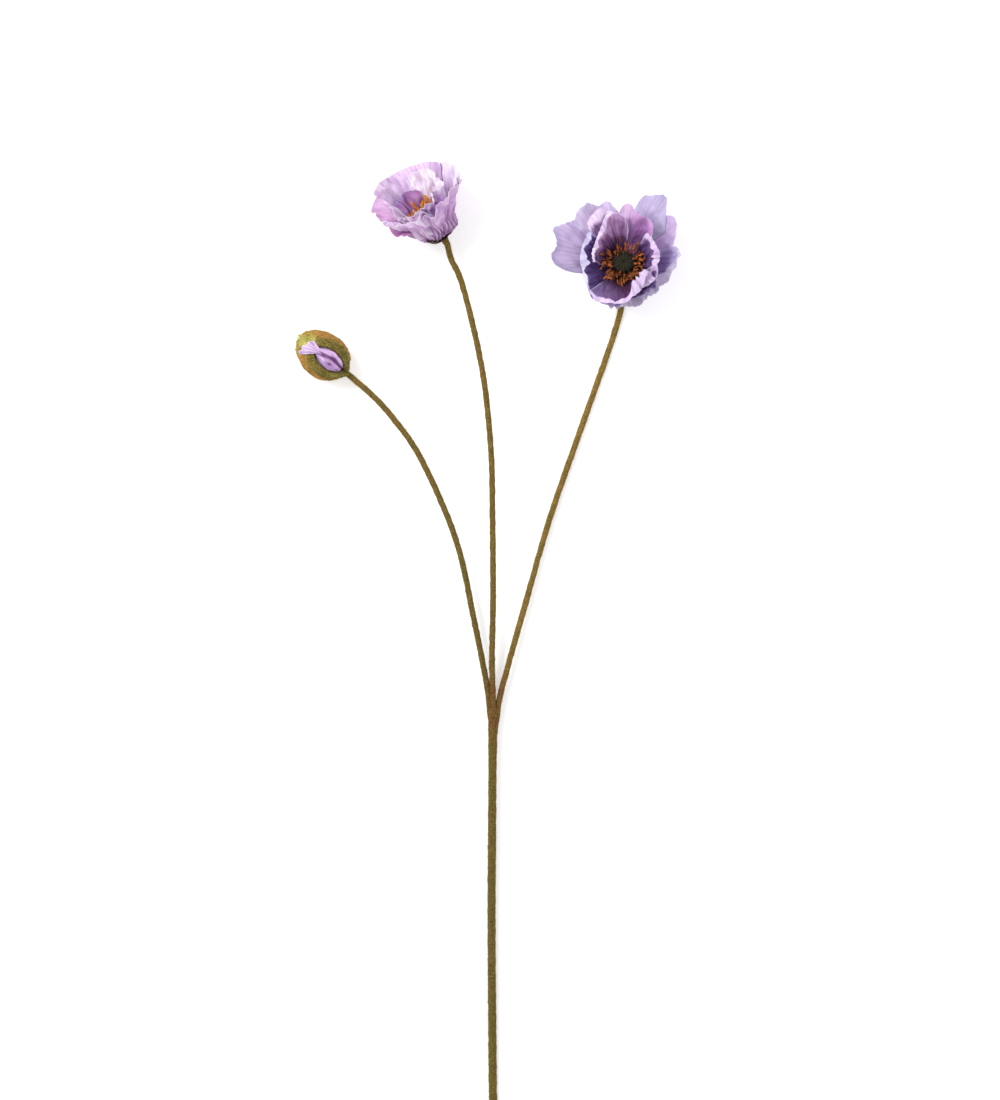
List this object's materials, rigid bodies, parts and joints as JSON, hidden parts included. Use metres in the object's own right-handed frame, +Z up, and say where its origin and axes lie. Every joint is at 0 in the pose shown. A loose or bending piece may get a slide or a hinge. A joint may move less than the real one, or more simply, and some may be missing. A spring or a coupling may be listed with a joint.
{
  "type": "poppy spray",
  "caption": "Cut poppy spray lying on a table: a downy forked stem with an opening bud, a half-open bloom and a full bloom of layered, wavy lilac petals round rust stamens.",
  "frame": {"origin": "on the table plane under the spray, at the middle of its footprint", "axes": "+Y runs up the stem from its cut end to the heads, +X is to the open bloom's side, +Z is up, the way the heads face"},
  "size_m": [0.2394, 0.601, 0.0538],
  "materials": {
    "stem_down": "matt olive-brown down over a round stem",
    "sepal_down": "matt olive-orange down, paler and greener at the tip",
    "bud_petal": "crumpled lilac petal, soft sheen",
    "calyx": "dark reddish-brown, dull",
    "half_outer_petal": "pink-lilac, finely pleated, soft sheen",
    "half_inner_petal": "lilac to purple, crumpled, soft sheen",
    "open_outer_petal": "pale lavender with fine veins and bluish edges",
    "open_inner_petal": "mauve to dark plum with pale rolled rims",
    "stamen": "burnt-orange anthers on tan threads, dull",
    "pistil": "green-black capsule with a rayed cap, dull"
  },
  "bodies": {
    "root": {"stem": "stem_down", "bud_sepal_1": "sepal_down", "bud_sepal_2": "sepal_down", "bud_petals": "bud_petal", "half_calyx": "calyx", "half_outer_petal_1": "half_outer_petal", "half_outer_petal_2": "half_outer_petal", "half_outer_petal_3": "half_outer_petal", "half_outer_petal_4": "half_outer_petal", "half_outer_petal_5": "half_outer_petal", "half_inner_petal_1": "half_inner_petal", "half_inner_petal_2": "half_inner_petal", "half_inner_petal_3": "half_inner_petal", "half_inner_petal_4": "half_inner_petal", "half_pistil": "pistil", "half_stamens": "stamen", "open_calyx": "calyx", "open_outer_petal_1": "open_outer_petal", "open_outer_petal_2": "open_outer_petal", "open_outer_petal_3": "open_outer_petal", "open_outer_petal_4": "open_outer_petal", "open_outer_petal_5": "open_outer_petal", "open_outer_petal_6": "open_outer_petal", "open_middle_petal_1": "open_inner_petal", "open_middle_petal_2": "open_inner_petal", "open_middle_petal_3": "open_inner_petal", "open_middle_petal_4": "open_inner_petal", "open_inner_petal_1": "open_inner_petal", "open_inner_petal_2": "open_inner_petal", "open_inner_petal_3": "open_inner_petal", "open_pistil": "pistil", "open_stamens": "stamen"}
  },
  "joints": []
}
